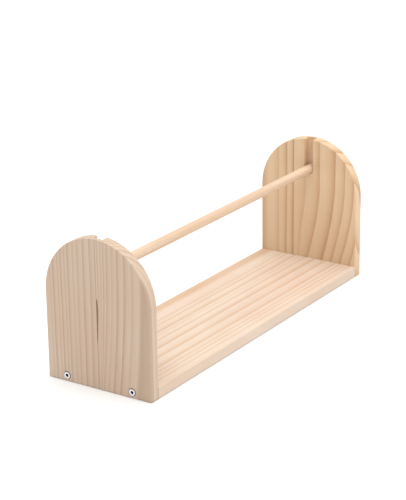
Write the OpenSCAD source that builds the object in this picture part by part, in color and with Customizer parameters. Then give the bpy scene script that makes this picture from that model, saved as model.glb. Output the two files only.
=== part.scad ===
// Spool holder: a round rod laid in two slotted end panels, which are screwed to a base board.
// Millimetres, +Z up. The origin is the middle of the base board's underside.
// X runs along the rod and -Y is the front.

/* [Base board] */
// Length of the base board, which is the room between the end panels
base_l = 380; // [250:5:600]
// Depth of the base board and the end panels, front to back
depth = 120; // [90:2:180]
// Thickness of the base board
base_t = 12; // [10:0.5:20]

/* [End panels] */
// Height of an end panel, from the table to its crown
panel_h = 150; // [120:5:240]
// Thickness of an end panel
panel_t = 12; // [9:0.2:20]
// Radius that eases the long edges of the boards
ease_r = 1.2; // [0.4:0.1:2.5]

/* [Rod] */
// Diameter of the rod
rod_d = 10; // [6:0.5:16]
// Depth of the rod's axis below the crown of the panels
rod_drop = 35; // [15:1:60]
// Gap all round between the rod and its seat
rod_fit = 0.3; // [0.1:0.05:0.8]
// Play between each end of the rod and the bottom of its slot
rod_float = 0.5; // [0.2:0.1:2]
// Chamfer on the rod's ends
rod_chamfer = 0.8; // [0.3:0.1:1.5]

/* [Slots] */
// Wood left between the bottom of a slot and the panel's outer face
slot_skin = 4; // [2:0.5:6]
// Chamfer on both sides of the slot's mouth
mouth_chamfer = 1.5; // [0.5:0.1:4]

/* [Screws] */
// Distance between the front and the back screw of a panel
screw_gap = 76; // [40:1:82]
// Outside diameter of the screw's thread
screw_d = 4; // [3:0.1:5]
// Length of the screw below its head
screw_l = 35; // [20:1:60]
// Length of the screw's point
point_l = 4; // [2:0.5:8]
// Diameter of the screw's head
head_d = 7; // [6:0.1:7.6]
// Height of the screw's head
head_h = 4; // [3:0.1:4.6]
// How far the head stands proud of the panel
head_proud = 0.4; // [0:0.1:1]
// Width across the flats of the hexagon socket
socket_w = 3; // [2:0.1:3.6]
// Depth of the hexagon socket
socket_deep = 2.2; // [1:0.1:2.6]
// Chamfer on the rim of the head
head_chamfer = 0.3; // [0.1:0.05:0.6]
// Gap all round between the head and its counterbore
head_clear = 0.5; // [0.2:0.05:0.7]
// Gap all round between the screw and its hole in the panel
shank_clear = 0.25; // [0.1:0.05:0.5]
// Gap all round between the thread and its pilot hole in the base board
pilot_clear = 0.05; // [0.02:0.01:0.1]
// Room left past the screw's point in its pilot hole
pilot_spare = 3; // [1:0.5:10]

/* [Hidden] */

$fn = 96;
left = -1;
right = 1;
front = -1;
back = 1;
pine = [0.86, 0.73, 0.58];
pale_pine = [0.95, 0.85, 0.72];
rod_wood = [0.92, 0.79, 0.63];
steel = [0.80, 0.81, 0.83];

// How far a cut runs past the face that it opens
past = 1;
// The crown is a half circle as wide as the panel
arch_r = depth / 2;
arch_z = panel_h - arch_r;
rod_z = panel_h - rod_drop;
slot_w = rod_d + 2 * rod_fit;
slot_deep = panel_t - slot_skin;
rod_l = base_l + 2 * (slot_deep - rod_float);
screw_z = base_t / 2;
// Depth of the counterbore, and how far the screw reaches into the base board
bore_deep = head_h - head_proud;
bite = screw_l - (panel_t - bore_deep);
// A hexagon's corners lie further out than its flats
socket_r = socket_w / 2 / cos(30);

// A rectangle centred on the origin, with its corners eased
module eased_rectangle(w, h) {
    for (x = [-1, 1], y = [-1, 1])
        translate([x * (w / 2 - ease_r), y * (h / 2 - ease_r)])
            circle(ease_r);
    square([w, h - 2 * ease_r], center = true);
    square([w - 2 * ease_r, h], center = true);
}

// Turns what stands along +Z to lie along +X
module along_x() {
    rotate([0, 90, 0])
        children();
}

// Puts a child at the axis of one screw, where the panel meets the base board, pointing inwards along +Z
module at_screw(side, row) {
    translate([side * base_l / 2, row * screw_gap / 2, screw_z])
        rotate([0, -side * 90, 0])
            children();
}

// The base board, with four pilot holes in its end grain
module base_board() {
    color(pale_pine)
        difference() {
            translate([-base_l / 2, 0, base_t / 2])
                along_x()
                    linear_extrude(base_l)
                        eased_rectangle(base_t, depth);
            for (side = [left, right], row = [front, back])
                at_screw(side, row)
                    translate([0, 0, -past])
                        cylinder(h = past + bite + pilot_spare, r = screw_d / 2 + pilot_clear);
        }
}

// The arched board of a panel, centred on the plane x = 0
module panel_board() {
    linear_extrude(arch_z)
        eased_rectangle(panel_t, depth);
    translate([0, 0, arch_z])
        rotate([90, 0, 90])
            rotate_extrude(angle = 180)
                intersection() {
                    eased_rectangle(depth, panel_t);
                    translate([0, -panel_t])
                        square([depth, 2 * panel_t]);
                }
}

// The outline of the slot, with the rod's seat at the origin and +Y towards the crown
module slot_outline() {
    circle(d = slot_w);
    translate([-slot_w / 2, 0])
        square([slot_w, rod_drop + past]);
    polygon([
        [-slot_w / 2, rod_drop - mouth_chamfer],
        [slot_w / 2, rod_drop - mouth_chamfer],
        [slot_w / 2 + mouth_chamfer + past, rod_drop + past],
        [-slot_w / 2 - mouth_chamfer - past, rod_drop + past],
    ]);
}

// An end panel: its slot opens on the inner face and at the crown, and its screw holes go right through
module end_panel(side) {
    color(pine)
        difference() {
            translate([side * (base_l + panel_t) / 2, 0, 0])
                panel_board();
            translate([side * base_l / 2, 0, rod_z])
                mirror([side > 0 ? 0 : 1, 0, 0])
                    translate([-past, 0, 0])
                        rotate([90, 0, 90])
                            linear_extrude(past + slot_deep)
                                slot_outline();
            for (row = [front, back])
                at_screw(side, row) {
                    translate([0, 0, -panel_t - past])
                        cylinder(h = panel_t + 2 * past, r = screw_d / 2 + shank_clear);
                    translate([0, 0, -panel_t - past])
                        cylinder(h = past + bore_deep, r = head_d / 2 + head_clear);
                }
        }
}

// The rod, lying in its seats, with both ends chamfered
module rod() {
    color(rod_wood)
        translate([-rod_l / 2, 0, rod_z])
            along_x()
                rotate_extrude()
                    polygon([
                        [0, 0],
                        [rod_d / 2 - rod_chamfer, 0],
                        [rod_d / 2, rod_chamfer],
                        [rod_d / 2, rod_l - rod_chamfer],
                        [rod_d / 2 - rod_chamfer, rod_l],
                        [0, rod_l],
                    ]);
}

// A socket-head screw. Its thread is drawn as a plain shank of the thread's outside diameter.
module screw(side, row) {
    color(steel)
        at_screw(side, row)
            translate([0, 0, bore_deep - panel_t])
                difference() {
                    rotate_extrude()
                        polygon([
                            [0, -head_h],
                            [head_d / 2 - head_chamfer, -head_h],
                            [head_d / 2, head_chamfer - head_h],
                            [head_d / 2, 0],
                            [screw_d / 2, 0],
                            [screw_d / 2, screw_l - point_l],
                            [0, screw_l],
                        ]);
                    translate([0, 0, -head_h - past])
                        cylinder(h = past + socket_deep, r = socket_r, $fn = 6);
                }
}

base_board();
end_panel(left);  // left_end_panel
end_panel(right);  // right_end_panel
rod();
screw(left, front);  // screw_left_front
screw(left, back);  // screw_left_back
screw(right, front);  // screw_right_front
screw(right, back);  // screw_right_back
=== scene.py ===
"""Visual model of a wooden spool holder: a rod in two slotted end panels, screwed to a base board."""

import logging
import math
from dataclasses import dataclass
from enum import Enum

import bpy
import numpy as np
from mathutils import Matrix, Vector


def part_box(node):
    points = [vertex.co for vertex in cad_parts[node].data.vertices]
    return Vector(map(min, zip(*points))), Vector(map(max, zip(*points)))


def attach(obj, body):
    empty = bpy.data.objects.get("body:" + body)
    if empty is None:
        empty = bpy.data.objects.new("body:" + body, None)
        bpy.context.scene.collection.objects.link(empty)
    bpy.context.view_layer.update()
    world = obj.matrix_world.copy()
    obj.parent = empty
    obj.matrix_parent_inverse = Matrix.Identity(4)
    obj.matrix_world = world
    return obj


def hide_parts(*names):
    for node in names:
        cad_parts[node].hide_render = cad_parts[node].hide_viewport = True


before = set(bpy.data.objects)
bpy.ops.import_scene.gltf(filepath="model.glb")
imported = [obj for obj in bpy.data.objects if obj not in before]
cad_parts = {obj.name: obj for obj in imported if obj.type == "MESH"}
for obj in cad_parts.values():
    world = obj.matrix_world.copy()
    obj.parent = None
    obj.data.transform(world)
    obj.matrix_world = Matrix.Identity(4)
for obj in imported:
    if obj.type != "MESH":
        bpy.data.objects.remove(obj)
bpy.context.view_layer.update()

LOG = logging.getLogger("spool_holder")

# Metres in a millimetre, and millimetres in a metre
MM = 0.001
PER_METRE = 1000.0

# Where the screws' axes lie in front of and behind the middle, and above the table, in millimetres
SCREW_Y = 38.0
SCREW_Z = 6.0

Colour = tuple[float, float, float]
Cells = tuple[float, float, float]


class Side(Enum):
    """The end of the holder that a piece belongs to, as its sign along X."""

    LEFT = -1
    RIGHT = 1


class Row(Enum):
    """The row that a screw belongs to, as its sign along Y."""

    FRONT = -1
    BACK = 1


class Grain(Enum):
    """The axis that a board's grain runs along, then the axis across its face, then the one through it."""

    ALONG_X = ("X", "Y", "Z")
    ALONG_Z = ("Z", "Y", "X")

    def order(self, cells: Cells) -> Cells:
        """Puts the cells of a noise in the order of the axes.

        Args:
            cells: Cells in a millimetre along the grain, across the face and through the board.

        Returns:
            The cells along X, Y and Z.
        """
        return cells if self is Grain.ALONG_X else cells[::-1]


# Shapes


def cad_box(node: str) -> tuple[np.ndarray, np.ndarray]:
    """The lowest and highest corner of a CAD node, in millimetres."""
    return tuple(np.array(corner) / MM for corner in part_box(node))


def closed_skin(name: str, rings: np.ndarray) -> bpy.types.Object:
    """Joins rings of points into one closed surface, with a fan of triangles at each end.

    Each ring is joined to the next by a band of quads. The middle of the first and last ring is the
    tip of a fan. The faces are turned round if the volume that they enclose comes out negative.

    Args:
        name: Name of the new object.
        rings: Points as (ring, place on the ring, xyz), in millimetres.

    Returns:
        The new object, with its faces outwards.
    """
    count, around = rings.shape[:2]
    points = np.vstack([rings[0].mean(0)[None], rings.reshape(-1, 3), rings[-1].mean(0)[None]])
    here = np.arange(around)
    after = (here + 1) % around
    start = 1 + around * np.arange(count - 1)[:, None]
    quads = np.stack([start + here, start + after, start + around + after, start + around + here], -1)
    quads = quads.reshape(-1, 4)
    top = 1 + around * (count - 1)
    first = np.stack([0 * here, 1 + after, 1 + here], -1)
    last = np.stack([0 * here + len(points) - 1, top + here, top + after], -1)
    corner = points[np.vstack([first, last, quads[:, :3], quads[:, [0, 2, 3]]])]
    volume = np.einsum("ij,ij->i", corner[:, 0], np.cross(corner[:, 1], corner[:, 2])).sum()
    turn = slice(None, None, -1 if volume < 0 else 1)
    faces = [face[turn].tolist() for face in (*first, *last, *quads)]
    mesh = bpy.data.meshes.new(name)
    mesh.from_pydata((points * MM).tolist(), [], faces)
    mesh.update()
    piece = bpy.data.objects.new(name, mesh)
    bpy.context.collection.objects.link(piece)
    return piece


def at_x(x: float, outline: np.ndarray) -> np.ndarray:
    """Stands an outline of (y, z) points at a place along X."""
    return np.column_stack([np.full(len(outline), x), outline])


def revolved(
    name: str, profile: np.ndarray, origin: Vector, sign: int, around: int = 56
) -> bpy.types.Object:
    """Turns a profile about a line along X.

    Args:
        name: Name of the new object.
        profile: Rows of (distance along the line, radius), in millimetres.
        origin: Where the line starts, in millimetres.
        sign: Direction of the line along X.
        around: Points on a ring.

    Returns:
        The new object.
    """
    turn = np.linspace(0, 2 * np.pi, around, endpoint=False)
    x = origin[0] + sign * profile[:, :1] + 0 * turn
    y = origin[1] + profile[:, 1:] * np.cos(turn)
    z = origin[2] + profile[:, 1:] * np.sin(turn)
    return closed_skin(name, np.stack([x, y, z], -1))


def carve(piece: bpy.types.Object, cutters: list[bpy.types.Object]) -> None:
    """Cuts each cutter out of a piece and then removes the cutters.

    Args:
        piece: The object to cut.
        cutters: Closed objects whose room is taken out.
    """
    for cutter in cutters:
        cut = piece.modifiers.new("cut", "BOOLEAN")
        cut.operation = "DIFFERENCE"
        cut.solver = "EXACT"
        cut.object = cutter
    graph = bpy.context.evaluated_depsgraph_get()
    mesh = bpy.data.meshes.new_from_object(piece.evaluated_get(graph), depsgraph=graph)
    piece.modifiers.clear()
    piece.data = mesh
    mesh.name = piece.name
    for cutter in cutters:
        bpy.data.objects.remove(cutter)


def settle_shading(piece: bpy.types.Object, angle: float = 32.0) -> None:
    """Shades rounds smooth, and keeps flats flat and arrises crisp.

    Args:
        piece: The object to shade.
        angle: Edges that turn by more than this, in degrees, stay sharp.
    """
    piece.data.polygons.foreach_set("use_smooth", [True] * len(piece.data.polygons))
    piece.data.set_sharp_from_angle(angle=math.radians(angle))
    weigh = piece.modifiers.new("weighted_normals", "WEIGHTED_NORMAL")
    weigh.keep_sharp = True


def dress(piece: bpy.types.Object, material: bpy.types.Material) -> None:
    """Gives a piece one material in place of any that it has."""
    piece.data.materials.clear()
    piece.data.materials.append(material)


# Finishes


def tint(colour: Colour, share: float = 1.0) -> tuple[float, ...]:
    """A share of a colour, with full alpha."""
    return (*(share * part for part in colour), 1.0)


class Wiring:
    """Adds and joins the nodes of one material."""

    def __init__(self, name: str) -> None:
        """Starts a material with an empty node tree.

        Args:
            name: Name of the material.
        """
        self.material = bpy.data.materials.new(name)
        self.material.use_nodes = True
        self.nodes = self.material.node_tree.nodes
        self.links = self.material.node_tree.links
        self.nodes.clear()

    def add(self, kind: str, settings: dict | None = None, **sockets: object) -> bpy.types.Node:
        """Adds a node, sets its properties, and joins or sets its inputs.

        Args:
            kind: Node type without its ShaderNode prefix.
            settings: Property values.
            sockets: Inputs by name, underscores for spaces, each a value or an output.

        Returns:
            The new node.
        """
        node = self.nodes.new("ShaderNode" + kind)
        for key, value in (settings or {}).items():
            setattr(node, key, value)
        for key, value in sockets.items():
            self.feed(node.inputs[key.replace("_", " ")], value)
        return node

    def feed(self, socket: bpy.types.NodeSocket, value: object) -> None:
        """Joins an output to a socket, or sets the socket's value.

        Args:
            socket: The input.
            value: An output, or the value to set.
        """
        if isinstance(value, bpy.types.NodeSocket):
            self.links.new(value, socket)
        else:
            socket.default_value = value

    def maths(self, operation: str, *values: object, clamp: bool = False) -> bpy.types.NodeSocket:
        """Adds a Math node.

        Args:
            operation: Its operation.
            values: Its inputs in order, each a number or an output.
            clamp: Whether the result is held between 0 and 1.

        Returns:
            The node's output.
        """
        node = self.add("Math", {"operation": operation, "use_clamp": clamp})
        for socket, value in zip(node.inputs, values):
            self.feed(socket, value)
        return node.outputs[0]

    def length(self, one: object, other: object) -> bpy.types.NodeSocket:
        """Works out the root of the sum of two squares.

        Args:
            one: The first side.
            other: The second side, square to the first.

        Returns:
            The length of the slope between their ends.
        """
        squares = [self.maths("MULTIPLY", side, side) for side in (one, other)]
        return self.maths("SQRT", self.maths("ADD", *squares))

    def ramp(
        self, value: object, low: float, high: float, start: float = 0.0, end: float = 1.0
    ) -> bpy.types.NodeSocket:
        """Adds a smooth step.

        Args:
            value: What the step follows.
            low: The value where the step starts. It may be the larger of the two.
            high: The value where the step ends.
            start: The result before the step.
            end: The result after it.

        Returns:
            The stepped value.
        """
        node = self.add("MapRange", {"interpolation_type": "SMOOTHSTEP"}, Value=value)
        for key, number in (("From Min", low), ("From Max", high), ("To Min", start), ("To Max", end)):
            node.inputs[key].default_value = number
        return node.outputs[0]

    def blend(self, share: object, one: object, other: object, mode: str = "MIX") -> bpy.types.NodeSocket:
        """Adds a colour Mix node.

        Args:
            share: How much of the second colour is taken.
            one: The first colour.
            other: The second colour.
            mode: The node's blend type.

        Returns:
            The mixed colour.
        """
        node = self.add("Mix", {"data_type": "RGBA", "blend_type": mode})
        for place, value in ((0, share), (6, one), (7, other)):
            self.feed(node.inputs[place], value)
        return node.outputs[2]

    def place(self) -> bpy.types.NodeSocket:
        """Reads the place on the object.

        Returns:
            The place, in millimetres.
        """
        scaled = self.add("VectorMath", {"operation": "SCALE"}, Scale=PER_METRE)
        self.feed(scaled.inputs[0], self.add("TexCoord").outputs["Object"])
        return scaled.outputs[0]

    def noise(self, place: object, cells: Cells, detail: float = 3.0) -> bpy.types.NodeSocket:
        """Adds a noise that is stretched along the axes.

        Args:
            place: The place on the object, in millimetres.
            cells: Cells of the noise in a millimetre along X, Y and Z.
            detail: How many finer layers it has.

        Returns:
            The noise, about 0 to 1.
        """
        scaled = self.add("VectorMath", {"operation": "MULTIPLY"})
        self.feed(scaled.inputs[0], place)
        scaled.inputs[1].default_value = cells
        return self.add("TexNoise", Vector=scaled.outputs[0], Scale=1.0, Detail=detail).outputs[0]

    def bump(self, height: object, strength: float, rise: float) -> bpy.types.NodeSocket:
        """Adds a Bump node whose height of 1 stands for a rise in metres, and returns its normal."""
        return self.add("Bump", Strength=strength, Distance=rise, Height=height).outputs[0]

    def finish(self, shader: bpy.types.Node) -> bpy.types.Material:
        """Joins a shader to the material's output and returns the material."""
        self.links.new(shader.outputs[0], self.add("OutputMaterial").inputs[0])
        return self.material


@dataclass(frozen=True)
class Streaks:
    """A stretched noise in the wood. It shows from where it passes low, up to its full share at high.

    The cells are those in a millimetre along the grain, across the face and through the board.
    """

    cells: Cells
    detail: float
    low: float
    high: float
    share: float

    def noise(self, w: Wiring, spot: object, grain: Grain) -> bpy.types.NodeSocket:
        """The noise at a place in a board of that grain."""
        return w.noise(spot, grain.order(self.cells), self.detail)

    def shown(self, w: Wiring, noise: object) -> bpy.types.NodeSocket:
        """How strongly the noise shows."""
        return w.ramp(noise, self.low, self.high, 0.0, self.share)


@dataclass(frozen=True)
class Sweep:
    """How far the grain lines bend sideways as they go down the grain.

    The shift is the amount times a power of the distance past the start over the reach. It fades out
    across the face, from full to nothing within the fade before the edge.
    """

    start: float
    reach: float
    amount: float
    power: float
    edge: float
    fade: float = 12.0

    def shift(self, w: Wiring, run: object, across: object) -> bpy.types.NodeSocket:
        """Works out the shift.

        Args:
            w: The material's wiring.
            run: Place along the grain.
            across: Place across the face.

        Returns:
            The shift, in millimetres.
        """
        down = w.maths("MAXIMUM", w.maths("DIVIDE", w.maths("SUBTRACT", self.start, run), self.reach), 0.0)
        bend = w.maths("MULTIPLY", w.maths("POWER", down, self.power), self.amount)
        return w.maths("MULTIPLY", bend, w.ramp(across, self.edge, self.edge - self.fade))


@dataclass(frozen=True)
class PineFinish:
    """Planed pine, with annual rings at the places where they cross one face.

    The radius from the pith picks the ring. Each ring darkens slowly outwards and then falls back sharply.
    The lines are places across the face and the pith is (across, through), all in millimetres. Shares say
    how strongly an effect shows, and tints say how dark it is against the early or late wood.
    """

    name: str
    grain: Grain
    pith: tuple[float, float]
    face: float
    lines: tuple[float, ...]
    early: Colour
    late: Colour
    strength: float
    sweep: Sweep
    wave_cells: Cells = (0.006, 0.03, 0.05)
    seam: float | None = None
    waviness: float = 3.2
    ring_rise: float = 3.0
    ring_fall: float = 0.93
    ring_least: float = 0.55
    ring_spread: float = 0.7
    streaks: Streaks = Streaks((0.012, 0.35, 0.35), detail=3.0, low=0.35, high=0.75, share=0.30)
    streak_tint: float = 0.86
    fibres: Streaks = Streaks((0.02, 1.6, 1.6), detail=4.0, low=0.3, high=0.8, share=0.22)
    fibre_tint: float = 0.78
    tone: Streaks = Streaks((0.012, 0.02, 0.012), detail=2.0, low=0.3, high=0.7, share=0.16)
    tone_colour: Colour = (0.80, 0.50, 0.36)
    seam_share: float = 0.45
    seam_tint: float = 0.55
    seam_reach: tuple[float, float] = (0.9, 0.1)
    fibre_height: float = 0.6
    bump_strength: float = 0.35
    bump_rise: float = 0.00008
    least_rough: float = 0.50
    rough_spread: float = 0.16
    specular: float = 0.3

    def radius(self, across: float) -> float:
        """Distance from the pith to a place on the face, in millimetres."""
        return math.hypot(across - self.pith[0], self.face - self.pith[1])

    def ring_count(self, w: Wiring, radius: bpy.types.NodeSocket) -> bpy.types.NodeSocket:
        """Turns the radius into a count of rings, which passes a whole number at each line.

        Args:
            w: The material's wiring.
            radius: Distance from the pith.

        Returns:
            The count of rings.
        """
        past_last = 40.0
        rings_past_last = 4
        radii = sorted(self.radius(line) for line in self.lines)
        span = radii[-1] + past_last
        total = float(len(radii) + rings_past_last)
        node = w.add("FloatCurve", Value=w.maths("DIVIDE", radius, span, clamp=True))
        curve = node.mapping.curves[0]
        curve.points[0].location = (0.0, 0.0)
        curve.points[1].location = (1.0, 1.0)
        for number, value in enumerate(radii):
            curve.points.new(value / span, (number + 1) / total).handle_type = "VECTOR"
        node.mapping.update()
        return w.maths("MULTIPLY", node.outputs[0], total)

    def late_wood(self, w: Wiring, spot: object, axes: list[bpy.types.NodeSocket]) -> bpy.types.NodeSocket:
        """Finds how much of the late wood of a ring shows at a place.

        Args:
            w: The material's wiring.
            spot: The place, in millimetres.
            axes: The place along the grain, across the face and through the board.

        Returns:
            The share of late wood.
        """
        run, across, through = axes
        wave = w.noise(spot, self.grain.order(self.wave_cells))
        wave = w.maths("MULTIPLY_ADD", wave, self.waviness, -self.waviness / 2)
        level = w.maths("SUBTRACT", w.maths("ADD", across, wave), self.sweep.shift(w, run, across))
        from_pith = w.maths("SUBTRACT", level, self.pith[0])
        count = self.ring_count(w, w.length(from_pith, w.maths("SUBTRACT", through, self.pith[1])))
        phase = w.maths("FRACT", count)
        rise = w.maths("POWER", phase, self.ring_rise)
        late = w.maths("MULTIPLY", rise, w.ramp(phase, 1.0, self.ring_fall))
        draw = w.add("TexWhiteNoise", {"noise_dimensions": "1D"}, W=w.maths("FLOOR", count)).outputs[0]
        return w.maths("MULTIPLY", late, w.maths("MULTIPLY_ADD", draw, self.ring_spread, self.ring_least))

    def material(self) -> bpy.types.Material:
        """Builds the material.

        Returns:
            The finished pine.
        """
        w = Wiring(self.name)
        spot = w.place()
        split = w.add("SeparateXYZ", Vector=spot)
        axes = [split.outputs[axis] for axis in self.grain.value]
        late = self.late_wood(w, spot, axes)
        fibre = self.fibres.noise(w, spot, self.grain)
        streak = self.streaks.noise(w, spot, self.grain)
        tone = self.tone.noise(w, spot, self.grain)
        colour = w.blend(w.maths("MULTIPLY", late, self.strength), tint(self.early), tint(self.late))
        colour = w.blend(self.streaks.shown(w, streak), colour, tint(self.early, self.streak_tint))
        colour = w.blend(self.fibres.shown(w, fibre), colour, tint(self.early, self.fibre_tint))
        colour = w.blend(self.tone.shown(w, tone), colour, tint(self.tone_colour), "MULTIPLY")
        if self.seam is not None:
            gap = w.maths("ABSOLUTE", w.maths("SUBTRACT", axes[1], self.seam))
            share = w.ramp(gap, *self.seam_reach, 0.0, self.seam_share)
            colour = w.blend(share, colour, tint(self.late, self.seam_tint))
        raised = w.maths("MULTIPLY", fibre, self.fibre_height)
        height = w.maths("ADD", raised, w.maths("MULTIPLY", late, 1 - self.fibre_height))
        shader = w.add(
            "BsdfPrincipled",
            Base_Color=colour,
            Roughness=w.maths("MULTIPLY_ADD", fibre, self.rough_spread, self.least_rough),
            Specular_IOR_Level=self.specular,
            Normal=w.bump(height, self.bump_strength, self.bump_rise),
        )
        return w.finish(shader)


@dataclass(frozen=True)
class RodFinish:
    """Turned hardwood: fine fibres along X and broad soft streaks."""

    early: Colour = (0.69, 0.515, 0.37)
    late: Colour = (0.56, 0.345, 0.205)
    streaks: Streaks = Streaks((0.008, 0.3, 0.3), detail=2.0, low=0.4, high=0.75, share=0.5)
    fibres: Streaks = Streaks((0.05, 2.2, 2.2), detail=4.0, low=0.35, high=0.8, share=0.3)
    bump_strength: float = 0.3
    bump_rise: float = 0.00006
    least_rough: float = 0.38
    rough_spread: float = 0.18

    def material(self) -> bpy.types.Material:
        """Builds the material.

        Returns:
            The finished wood.
        """
        w = Wiring("rod_wood")
        spot = w.place()
        streak = self.streaks.noise(w, spot, Grain.ALONG_X)
        fibre = self.fibres.noise(w, spot, Grain.ALONG_X)
        colour = w.blend(self.streaks.shown(w, streak), tint(self.early), tint(self.late))
        colour = w.blend(self.fibres.shown(w, fibre), colour, tint(self.late))
        shader = w.add(
            "BsdfPrincipled",
            Base_Color=colour,
            Roughness=w.maths("MULTIPLY_ADD", fibre, self.rough_spread, self.least_rough),
            Normal=w.bump(fibre, self.bump_strength, self.bump_rise),
        )
        return w.finish(shader)


@dataclass(frozen=True)
class ZincFinish:
    """Bright zinc plate, faintly mottled, with fine turning marks and painted shade in the socket.

    The socket, painted near black as shade, is what lies within its reach of a screw's axis and below the
    head's face.
    Each pair is where that painted shade starts and where it is full, in millimetres.
    """

    light: Colour = (0.88, 0.89, 0.91)
    dull: Colour = (0.66, 0.68, 0.72)
    grime: Colour = (0.012, 0.014, 0.03)
    grime_share: float = 0.96
    mottle_cells: Cells = (0.8, 0.8, 0.8)
    mottle_range: tuple[float, float] = (0.3, 0.7)
    mark_cells: Cells = (9.0, 2.0, 2.0)
    socket_reach: tuple[float, float] = (1.86, 1.72)
    head_face: tuple[float, float] = (202.36, 202.2)
    bump_strength: float = 0.25
    bump_rise: float = 0.00004
    least_rough: float = 0.2
    rough_spread: float = 0.2

    def material(self) -> bpy.types.Material:
        """Builds the material.

        Returns:
            The finished metal.
        """
        w = Wiring("screw_steel")
        spot = w.place()
        mottle = w.noise(spot, self.mottle_cells)
        marks = w.noise(spot, self.mark_cells, 2.0)
        colour = w.blend(w.ramp(mottle, *self.mottle_range), tint(self.light), tint(self.dull))
        axes = w.add("SeparateXYZ", Vector=spot)
        off_y = w.maths("SUBTRACT", w.maths("ABSOLUTE", axes.outputs["Y"]), SCREW_Y)
        off_z = w.maths("SUBTRACT", axes.outputs["Z"], SCREW_Z)
        deep = w.ramp(w.maths("ABSOLUTE", axes.outputs["X"]), *self.head_face)
        # painted shade: the colour goes near black deep inside the hex socket, standing in for the recess's
        # shade
        socket_shade_mask = w.maths("MULTIPLY", w.ramp(w.length(off_y, off_z), *self.socket_reach), deep)
        colour = w.blend(w.maths("MULTIPLY", socket_shade_mask, self.grime_share), colour, tint(self.grime))
        shader = w.add(
            "BsdfPrincipled",
            Base_Color=colour,
            Metallic=1.0,
            Roughness=w.maths("MULTIPLY_ADD", mottle, self.rough_spread, self.least_rough),
            Normal=w.bump(marks, self.bump_strength, self.bump_rise),
        )
        return w.finish(shader)


BASE_PINE = PineFinish(
    name="base_pine",
    grain=Grain.ALONG_X,
    pith=(120.0, -50.0),
    face=12.0,
    lines=(42.8, 30.3, 25.0, 13.5, 8.4, 1.1, -10.5, -24.2, -37.5, -43.5, -49.0, -55.4),
    early=(0.70, 0.575, 0.465),
    late=(0.57, 0.345, 0.18),
    strength=0.95,
    sweep=Sweep(start=250.0, reach=400.0, amount=3.0, power=1.2, edge=80.0),
    wave_cells=(0.004, 0.03, 0.05),
)
LEFT_PINE = PineFinish(
    name="left_panel_pine",
    grain=Grain.ALONG_Z,
    pith=(-66.0, -232.0),
    face=-202.0,
    lines=(
        *(54.0, 50.4, 44.6, 41.0, 36.4, 32.8, 26.8, 21.6, 15.0, 7.4),
        *(-1.6, -5.2, -8.4, -11.8, -17.4, -23.4, -31.4, -40.0, -48.0),
    ),
    early=(0.61, 0.478, 0.366),
    late=(0.40, 0.262, 0.176),
    strength=0.85,
    sweep=Sweep(start=125.0, reach=100.0, amount=5.0, power=1.9, edge=4.0),
    seam=0.2,
)
RIGHT_PINE = PineFinish(
    name="right_panel_pine",
    grain=Grain.ALONG_Z,
    pith=(95.0, 260.0),
    face=190.0,
    lines=(50.0, 37.2, 26.8, 18.4, 2.4, -15.4, -34.2, -46.0),
    early=(0.73, 0.535, 0.352),
    late=(0.49, 0.275, 0.13),
    strength=1.0,
    sweep=Sweep(start=95.0, reach=75.0, amount=12.5, power=1.6, edge=18.5),
    seam=18.9,
)


# Pieces of the holder, in millimetres


@dataclass
class BaseBoard:
    """The board that the end panels are screwed to."""

    ease: float = 1.2
    end_ease: float = 0.25
    pilot_r: float = 2.05
    pilot_deep: float = 29.6
    past: float = 1.0
    corner_steps: int = 7

    def section(self, half_w: float, half_h: float) -> np.ndarray:
        """Outline of a rectangle with rounded corners: a quarter circle about each corner's centre.

        Args:
            half_w: Half its width.
            half_h: Half its height.

        Returns:
            Points as (place, yz), about the middle.
        """
        turn = np.linspace(0, np.pi / 2, self.corner_steps)
        corners = []
        for quarter, (sign_y, sign_z) in enumerate(((1, 1), (-1, 1), (-1, -1), (1, -1))):
            angle = turn + quarter * np.pi / 2
            y = sign_y * (half_w - self.ease) + self.ease * np.cos(angle)
            z = sign_z * (half_h - self.ease) + self.ease * np.sin(angle)
            corners.append(np.stack([y, z], -1))
        return np.vstack(corners)

    def pilot_cutter(self, side: Side, row: Row, end_x: float) -> bpy.types.Object:
        """The room of one pilot hole.

        Args:
            side: The end that it is drilled into.
            row: The row of its screw.
            end_x: Distance of that end from the middle.

        Returns:
            The cutter.
        """
        hole = np.array([(-self.past, self.pilot_r), (self.pilot_deep, self.pilot_r)])
        return revolved("cut", hole, Vector((side.value * end_x, row.value * SCREW_Y, SCREW_Z)), -side.value)

    def build(self) -> bpy.types.Object:
        """Builds the board and drills its pilot holes.

        Returns:
            The board.
        """
        low, high = cad_box("base_board")
        half = (high - low) / 2
        stations = (
            (low[0], self.end_ease),
            (low[0] + self.end_ease, 0.0),
            (0.0, 0.0),
            (high[0] - self.end_ease, 0.0),
            (high[0], self.end_ease),
        )
        rings = []
        for x, inset in stations:
            outline = self.section(half[1] - inset, half[2] - inset)
            rings.append(at_x(x, outline + (0, half[2])))
        piece = closed_skin("BaseBoard", np.array(rings))
        carve(piece, [self.pilot_cutter(side, row, high[0]) for side in Side for row in Row])
        settle_shading(piece)
        dress(piece, BASE_PINE.material())
        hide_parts("base_board")
        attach(piece, "stand")
        return piece


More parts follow.
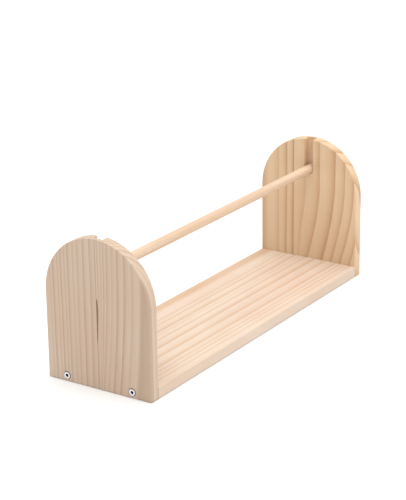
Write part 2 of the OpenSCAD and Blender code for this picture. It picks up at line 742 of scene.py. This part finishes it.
@dataclass
class ResinPocket:
    """A pocket in the outer face, straight on one edge and bulging on the other.

    Its width grows as a power of the height up to its peak, and then closes as a quarter of an ellipse.
    Each layer is (distance below the face, share of the width).
    """

    foot: float = 46.0
    top: float = 92.0
    widest: float = 2.0
    least: float = 0.05
    peak: float = 0.74
    power: float = 0.7
    straight_y: float = 0.3
    steps: int = 36
    layers: tuple[tuple[float, float], ...] = ((-0.5, 1.0), (0.3, 1.0), (1.2, 0.8), (1.7, 0.4))

    def cutter(self, face_x: float) -> bpy.types.Object:
        """The room of the pocket in a face that looks along -X.

        Args:
            face_x: Place of the face along X.

        Returns:
            The cutter.
        """
        up = np.linspace(0.01, 0.99, self.steps)
        below = (up / self.peak) ** self.power
        above = np.sqrt(np.clip(1 - ((up - self.peak) / (1 - self.peak)) ** 2, 0, 1))
        width = self.widest * np.where(up < self.peak, below, above) + self.least
        z = self.foot + (self.top - self.foot) * up
        rings = []
        for deep, share in self.layers:
            straight = np.stack([self.straight_y - width * (1 - share) / 2, z], -1)
            bulging = np.stack([self.straight_y - width * (1 + share) / 2, z], -1)[::-1]
            rings.append(at_x(face_x + deep, np.vstack([straight, bulging])))
        return closed_skin("cut", np.array(rings))


@dataclass
class EndPanel:
    """An arched end board with a blind slot for the rod and two counterbored screw holes."""

    side: Side
    inner_x: float = 190.0
    outer_x: float = 202.0
    crown_z: float = 150.0
    ease: float = 1.2
    face_margin: float = 0.4
    corner_r: float = 1.4
    arch_steps: int = 144
    ease_steps: int = 7
    corner_steps: int = 6
    rod_z: float = 115.0
    slot_r: float = 5.3
    slot_deep: float = 8.0
    slot_lip: float = 0.5
    lip_steps: int = 6
    slot_past: float = 0.3
    slot_flare: float = 0.7
    floor_ease: float = 0.2
    seat_steps: int = 40
    above_crown: float = 15.0
    mouth: float = 1.5
    mouth_start: float = 0.2
    mouth_rise: float = 2.0
    mouth_short: float = 0.03
    bore_r: float = 4.0
    bore_deep: float = 3.6
    bore_lip: tuple[tuple[float, float], ...] = ((-0.3, 0.9), (0.05, 0.3), (0.15, 0.12), (0.35, 0.0))
    shank_r: float = 2.25
    shank_end: float = 14.0

    @property
    def node(self) -> str:
        """Name of the CAD node that this panel stands for."""
        return f"{self.side.name.lower()}_end_panel"

    def outline(self, inset: float) -> np.ndarray:
        """The panel's outline, a rectangle under a half circle, moved inwards by an inset.

        Args:
            inset: Distance inwards.

        Returns:
            Points as (place, yz).
        """
        high = cad_box(self.node)[1]
        radius = high[1]
        arch = np.linspace(0, np.pi, self.arch_steps)
        arch_z = high[2] - radius + (radius - inset) * np.sin(arch)
        round_top = np.stack([(radius - inset) * np.cos(arch), arch_z], -1)
        bend = np.linspace(np.pi, 1.5 * np.pi, self.corner_steps)
        bow = max(self.corner_r - inset, 0.05)
        corner_y = radius - inset - bow
        front = np.stack([-corner_y + bow * np.cos(bend), inset + bow + bow * np.sin(bend)], -1)
        back = front[::-1] * (-1, 1)
        return np.vstack([round_top, front, back])

    def blank(self) -> bpy.types.Object:
        """The board before it is cut: its outline, eased by a quarter circle at both faces.

        Returns:
            The board.
        """
        low, high = cad_box(self.node)
        thick = high[0] - low[0]
        bend = np.linspace(0, np.pi / 2, self.ease_steps)
        insets = self.ease * (1 - np.sin(bend))
        depths = self.ease * (1 - np.cos(bend))
        rows = [(self.ease + self.face_margin, 0.0), *zip(insets, depths)]
        rows += [(inset, thick - depth) for inset, depth in reversed(rows)]
        rings = [at_x(low[0] + depth, self.outline(inset)) for inset, depth in rows]
        return closed_skin(f"{self.side.name.title()}EndPanel", np.array(rings))

    def slot_cutter(self) -> bpy.types.Object:
        """The room of the slot: a U outline, wider at the inner face, where its lip is a quarter circle.

        Returns:
            The cutter.
        """
        stops = np.linspace(0.1, 1.0, self.lip_steps) * self.slot_lip
        wider = self.slot_lip - np.sqrt(self.slot_lip**2 - (self.slot_lip - stops) ** 2)
        rows = [
            (-self.slot_past, wider[0] + self.slot_flare),
            *zip(stops, wider),
            (self.slot_deep - self.floor_ease, 0.0),
            (self.slot_deep, -self.floor_ease),
        ]
        seat = np.linspace(np.pi, 2 * np.pi, self.seat_steps)
        top = self.crown_z + self.above_crown
        rings = []
        for deep, offset in rows:
            r = self.slot_r + offset
            bottom = np.stack([r * np.cos(seat), self.rod_z + r * np.sin(seat)], -1)
            outline = np.vstack([bottom, [[r, top], [-r, top]]])
            rings.append(at_x(self.side.value * (self.inner_x + deep), outline))
        return closed_skin("cut", np.array(rings))

    def mouth_cutter(self) -> bpy.types.Object:
        """The room of the chamfer at the slot's mouth, which flares as it rises.

        Returns:
            The cutter.
        """
        near = self.side.value * (self.inner_x - 1)
        far = self.side.value * (self.inner_x + self.slot_deep - self.mouth_short)
        chamfer_z = self.crown_z - self.mouth
        rings = []
        for z in (chamfer_z - self.mouth_start, self.crown_z + self.mouth_rise):
            half = self.slot_r + z - chamfer_z
            rings.append([(near, -half, z), (far, -half, z), (far, half, z), (near, half, z)])
        return closed_skin("cut", np.array(rings, float))

    def bore_cutter(self, row: Row) -> bpy.types.Object:
        """The room of one screw: a counterbore with a rounded lip, and a clearance hole.

        Args:
            row: The screw's row.

        Returns:
            The cutter.
        """
        lip = [(deep, self.bore_r + wider) for deep, wider in self.bore_lip]
        floor = [(self.bore_deep, self.bore_r), (self.bore_deep, self.shank_r)]
        profile = np.array([*lip, *floor, (self.shank_end, self.shank_r)])
        origin = Vector((self.side.value * self.outer_x, row.value * SCREW_Y, SCREW_Z))
        return revolved("cut", profile, origin, -self.side.value)

    def build(self) -> bpy.types.Object:
        """Builds the panel and cuts its slot and holes.

        Returns:
            The panel.
        """
        piece = self.blank()
        cutters = [self.slot_cutter(), self.mouth_cutter(), *(self.bore_cutter(row) for row in Row)]
        if self.side is Side.LEFT:
            cutters.append(ResinPocket().cutter(-self.outer_x))
        carve(piece, cutters)
        settle_shading(piece)
        finish = LEFT_PINE if self.side is Side.LEFT else RIGHT_PINE
        dress(piece, finish.material())
        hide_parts(self.node)
        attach(piece, "stand")
        return piece


@dataclass
class Rod:
    """The round rod that carries the spools. Its chamfer is softened at both of its edges."""

    chamfer: float = 0.8
    end_margin: float = 0.15
    end_soft: tuple[float, float] = (0.1, 0.05)
    side_soft: tuple[float, float] = (0.35, 0.06)
    around: int = 72

    def build(self) -> bpy.types.Object:
        """Turns the rod.

        Returns:
            The rod.
        """
        low, high = cad_box("rod")
        length = high[0] - low[0]
        radius = (high[2] - low[2]) / 2
        end = [
            (0.0, radius - self.chamfer - self.end_margin),
            (self.end_soft[0], radius - self.chamfer + self.end_soft[1]),
            (self.chamfer, radius - self.side_soft[1]),
            (self.chamfer + self.side_soft[0], radius),
        ]
        other_end = [(length - along, r) for along, r in reversed(end)]
        profile = np.array([*end, (length / 2, radius), *other_end])
        piece = revolved("Rod", profile, Vector((low[0], 0.0, low[2] + radius)), 1, self.around)
        settle_shading(piece)
        dress(piece, RodFinish().material())
        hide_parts("rod")
        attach(piece, "rod")
        return piece


@dataclass
class SocketScrew:
    """A socket-head screw: hexagon socket, head, threaded shank and point."""

    side: Side
    row: Row
    steel: bpy.types.Material
    head_r: float = 3.5
    head_h: float = 4.0
    head_chamfer: float = 0.3
    chamfer_soft: float = 0.09
    face_r: float = 2.6
    flats: float = 3.0
    socket_deep: float = 2.2
    socket_rim: float = 0.15
    length: float = 35.0
    point: float = 4.0
    tip_share: float = 0.03
    plain: float = 5.0
    plain_less: float = 0.05
    core_r: float = 1.4
    thread_r: float = 2.0
    crest_power: float = 1.5
    pitch: float = 1.8
    first: float = 0.3
    step: float = 0.2
    sharp_angle: float = 28.0
    around: int = 60

    @property
    def node(self) -> str:
        """Name of the CAD node that this screw stands for."""
        return f"screw_{self.side.name.lower()}_{self.row.name.lower()}"

    def head(self, turn: np.ndarray) -> tuple[np.ndarray, np.ndarray]:
        """The rows from the socket's floor, over the head, to its underside.

        The socket's radius is half its flats over the cosine of the angle from the middle of a flat.

        Args:
            turn: Angles round the axis.

        Returns:
            The rows' depths below the head's face, and their radii.
        """
        sixth = np.pi / 3
        hexagon = self.flats / 2 / np.cos((turn + sixth / 2) % sixth - sixth / 2)
        ring = 0 * turn
        rows = [
            (self.socket_deep, 0.5 * hexagon),
            (self.socket_deep, hexagon),
            (self.socket_rim, hexagon),
            (0.0, hexagon + self.socket_rim),
            (0.0, ring + self.face_r),
            (0.0, ring + self.head_r - self.head_chamfer),
            (self.chamfer_soft, ring + self.head_r - self.chamfer_soft),
            (self.head_chamfer, ring + self.head_r),
            (self.head_h, ring + self.head_r),
            (self.head_h, ring + self.thread_r),
        ]
        return np.array([row[0] for row in rows]), np.array([row[1] for row in rows])

    def shank(self, turn: np.ndarray) -> tuple[np.ndarray, np.ndarray]:
        """The rows from below the head to the point.

        The thread's radius swings between core and crest with distance over pitch, less the share of a
        turn. It is scaled down towards the point, and the first part is plain.

        Args:
            turn: Angles round the axis.

        Returns:
            The rows' depths below the head's underside, and their radii.
        """
        run = np.arange(self.first, self.length - self.step, self.step)[:, None]
        wave = np.abs(2 * ((run / self.pitch - turn / (2 * np.pi)) % 1) - 1)
        radius = self.core_r + (self.thread_r - self.core_r) * wave**self.crest_power
        taper = np.clip((self.length - run) / self.point, self.tip_share, 1)
        radius = np.where(run < self.plain, self.thread_r - self.plain_less, radius) * taper
        return run[:, 0], radius

    def build(self) -> bpy.types.Object:
        """Builds the screw as one surface from the socket's floor to the point.

        Returns:
            The screw.
        """
        turn = np.linspace(0, 2 * np.pi, self.around, endpoint=False)
        head_depth, head_reach = self.head(turn)
        shank_depth, shank_reach = self.shank(turn)
        depth = np.concatenate([head_depth, self.head_h + shank_depth])
        reach = np.vstack([head_reach, shank_reach])
        low, high = cad_box(self.node)
        top = high[0] if self.side is Side.RIGHT else low[0]
        x = top - self.side.value * depth[:, None] + 0 * turn
        y = self.row.value * SCREW_Y + reach * np.cos(turn)
        z = (low[2] + high[2]) / 2 + reach * np.sin(turn)
        name = "".join(word.title() for word in self.node.split("_"))
        piece = closed_skin(name, np.stack([x, y, z], -1))
        settle_shading(piece, self.sharp_angle)
        dress(piece, self.steel)
        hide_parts(self.node)
        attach(piece, "stand")
        return piece


# Studio, in metres


@dataclass(frozen=True)
class SoftLight:
    """A square lamp that looks at the middle of the holder."""

    name: str
    place: tuple[float, float, float]
    size: float
    watts: float
    aim: tuple[float, float, float] = (0.0, 0.0, 0.05)

    def hang(self) -> None:
        """Puts the lamp in its place."""
        lamp = bpy.data.lights.new(self.name, "AREA")
        lamp.size = self.size
        lamp.energy = self.watts
        holder = bpy.data.objects.new(self.name, lamp)
        bpy.context.collection.objects.link(holder)
        holder.location = self.place
        view = Vector(self.aim) - Vector(self.place)
        holder.rotation_euler = view.to_track_quat("-Z", "Y").to_euler()


@dataclass
class Studio:
    """Pale floor, white surroundings, soft lights and the photograph's camera.

    The heading is measured from +X towards +Y, the pitch from level and the roll about the line of
    sight, all in degrees. The lens is for a sensor 36 mm high.
    """

    floor_r: float = 6.0
    floor_drop: float = 0.0001
    floor_colour: Colour = (0.86, 0.86, 0.86)
    floor_rough: float = 0.9
    sky: float = 0.60
    eye: tuple[float, float, float] = (-1.36608, -0.89112, 0.65657)
    heading: float = 33.5484
    pitch: float = -19.5145
    roll: float = -0.7820
    lens: float = 122.03
    sensor: float = 36.0
    far: float = 50.0
    lights: tuple[SoftLight, ...] = (
        SoftLight("Overhead", (-0.2, -0.3, 5.0), 8.0, 400.0),
        SoftLight("Front", (-0.3, -2.2, 0.9), 1.6, 7.0),
    )

    def floor(self) -> None:
        """Lays a large round floor that can be seen through from below."""
        turn = np.linspace(0, 2 * np.pi, 96, endpoint=False)
        x = self.floor_r * np.cos(turn)
        points = np.column_stack([x, self.floor_r * np.sin(turn), 0 * turn - self.floor_drop])
        mesh = bpy.data.meshes.new("Floor")
        mesh.from_pydata(points.tolist(), [], [list(range(len(points)))])
        piece = bpy.data.objects.new("Floor", mesh)
        bpy.context.collection.objects.link(piece)
        w = Wiring("floor")
        paint = w.add("BsdfPrincipled", Base_Color=tint(self.floor_colour), Roughness=self.floor_rough)
        mix = w.add("MixShader")
        w.feed(mix.inputs[0], w.add("NewGeometry").outputs["Backfacing"])
        w.feed(mix.inputs[1], paint.outputs[0])
        w.feed(mix.inputs[2], w.add("BsdfTransparent").outputs[0])
        mesh.materials.append(w.finish(mix))

    def surroundings(self) -> None:
        """Sets surroundings that look white but light the holder less than they look."""
        world = bpy.data.worlds.new("Surroundings")
        world.use_nodes = True
        tree = world.node_tree
        background = tree.nodes["Background"]
        background.inputs[0].default_value = tint((1.0, 1.0, 1.0))
        path = tree.nodes.new("ShaderNodeLightPath")
        level = tree.nodes.new("ShaderNodeMapRange")
        level.inputs["To Min"].default_value = self.sky
        level.inputs["To Max"].default_value = 1.0
        tree.links.new(path.outputs["Is Camera Ray"], level.inputs["Value"])
        tree.links.new(level.outputs[0], background.inputs[1])
        bpy.context.scene.world = world

    def camera(self) -> None:
        """Puts the camera where the photograph was taken from."""
        data = bpy.data.cameras.new("Camera")
        data.lens = self.lens
        data.sensor_width = self.sensor
        data.clip_end = self.far
        holder = bpy.data.objects.new("Camera", data)
        bpy.context.collection.objects.link(holder)
        turn = Matrix.Rotation(math.radians(self.heading - 90.0), 4, "Z")
        tilt = Matrix.Rotation(math.radians(90.0 + self.pitch), 4, "X")
        lean = Matrix.Rotation(math.radians(self.roll), 4, "Z")
        holder.matrix_world = Matrix.Translation(self.eye) @ turn @ tilt @ lean
        bpy.context.scene.camera = holder
        bpy.context.scene.view_settings.view_transform = "Standard"

    def build(self) -> None:
        """Sets up the whole studio."""
        self.floor()
        self.surroundings()
        for light in self.lights:
            light.hang()
        self.camera()


def main() -> None:
    """Builds every sub-assembly and the studio."""
    logging.basicConfig(level=logging.INFO)
    steel = ZincFinish().material()
    builders = [BaseBoard(), EndPanel(Side.LEFT), EndPanel(Side.RIGHT), Rod()]
    builders += [SocketScrew(side, row, steel) for side in Side for row in Row]
    for builder in builders:
        piece = builder.build()
        LOG.info("%s: %d vertices", piece.name, len(piece.data.vertices))
    Studio().build()


if __name__ == "__main__":
    main()
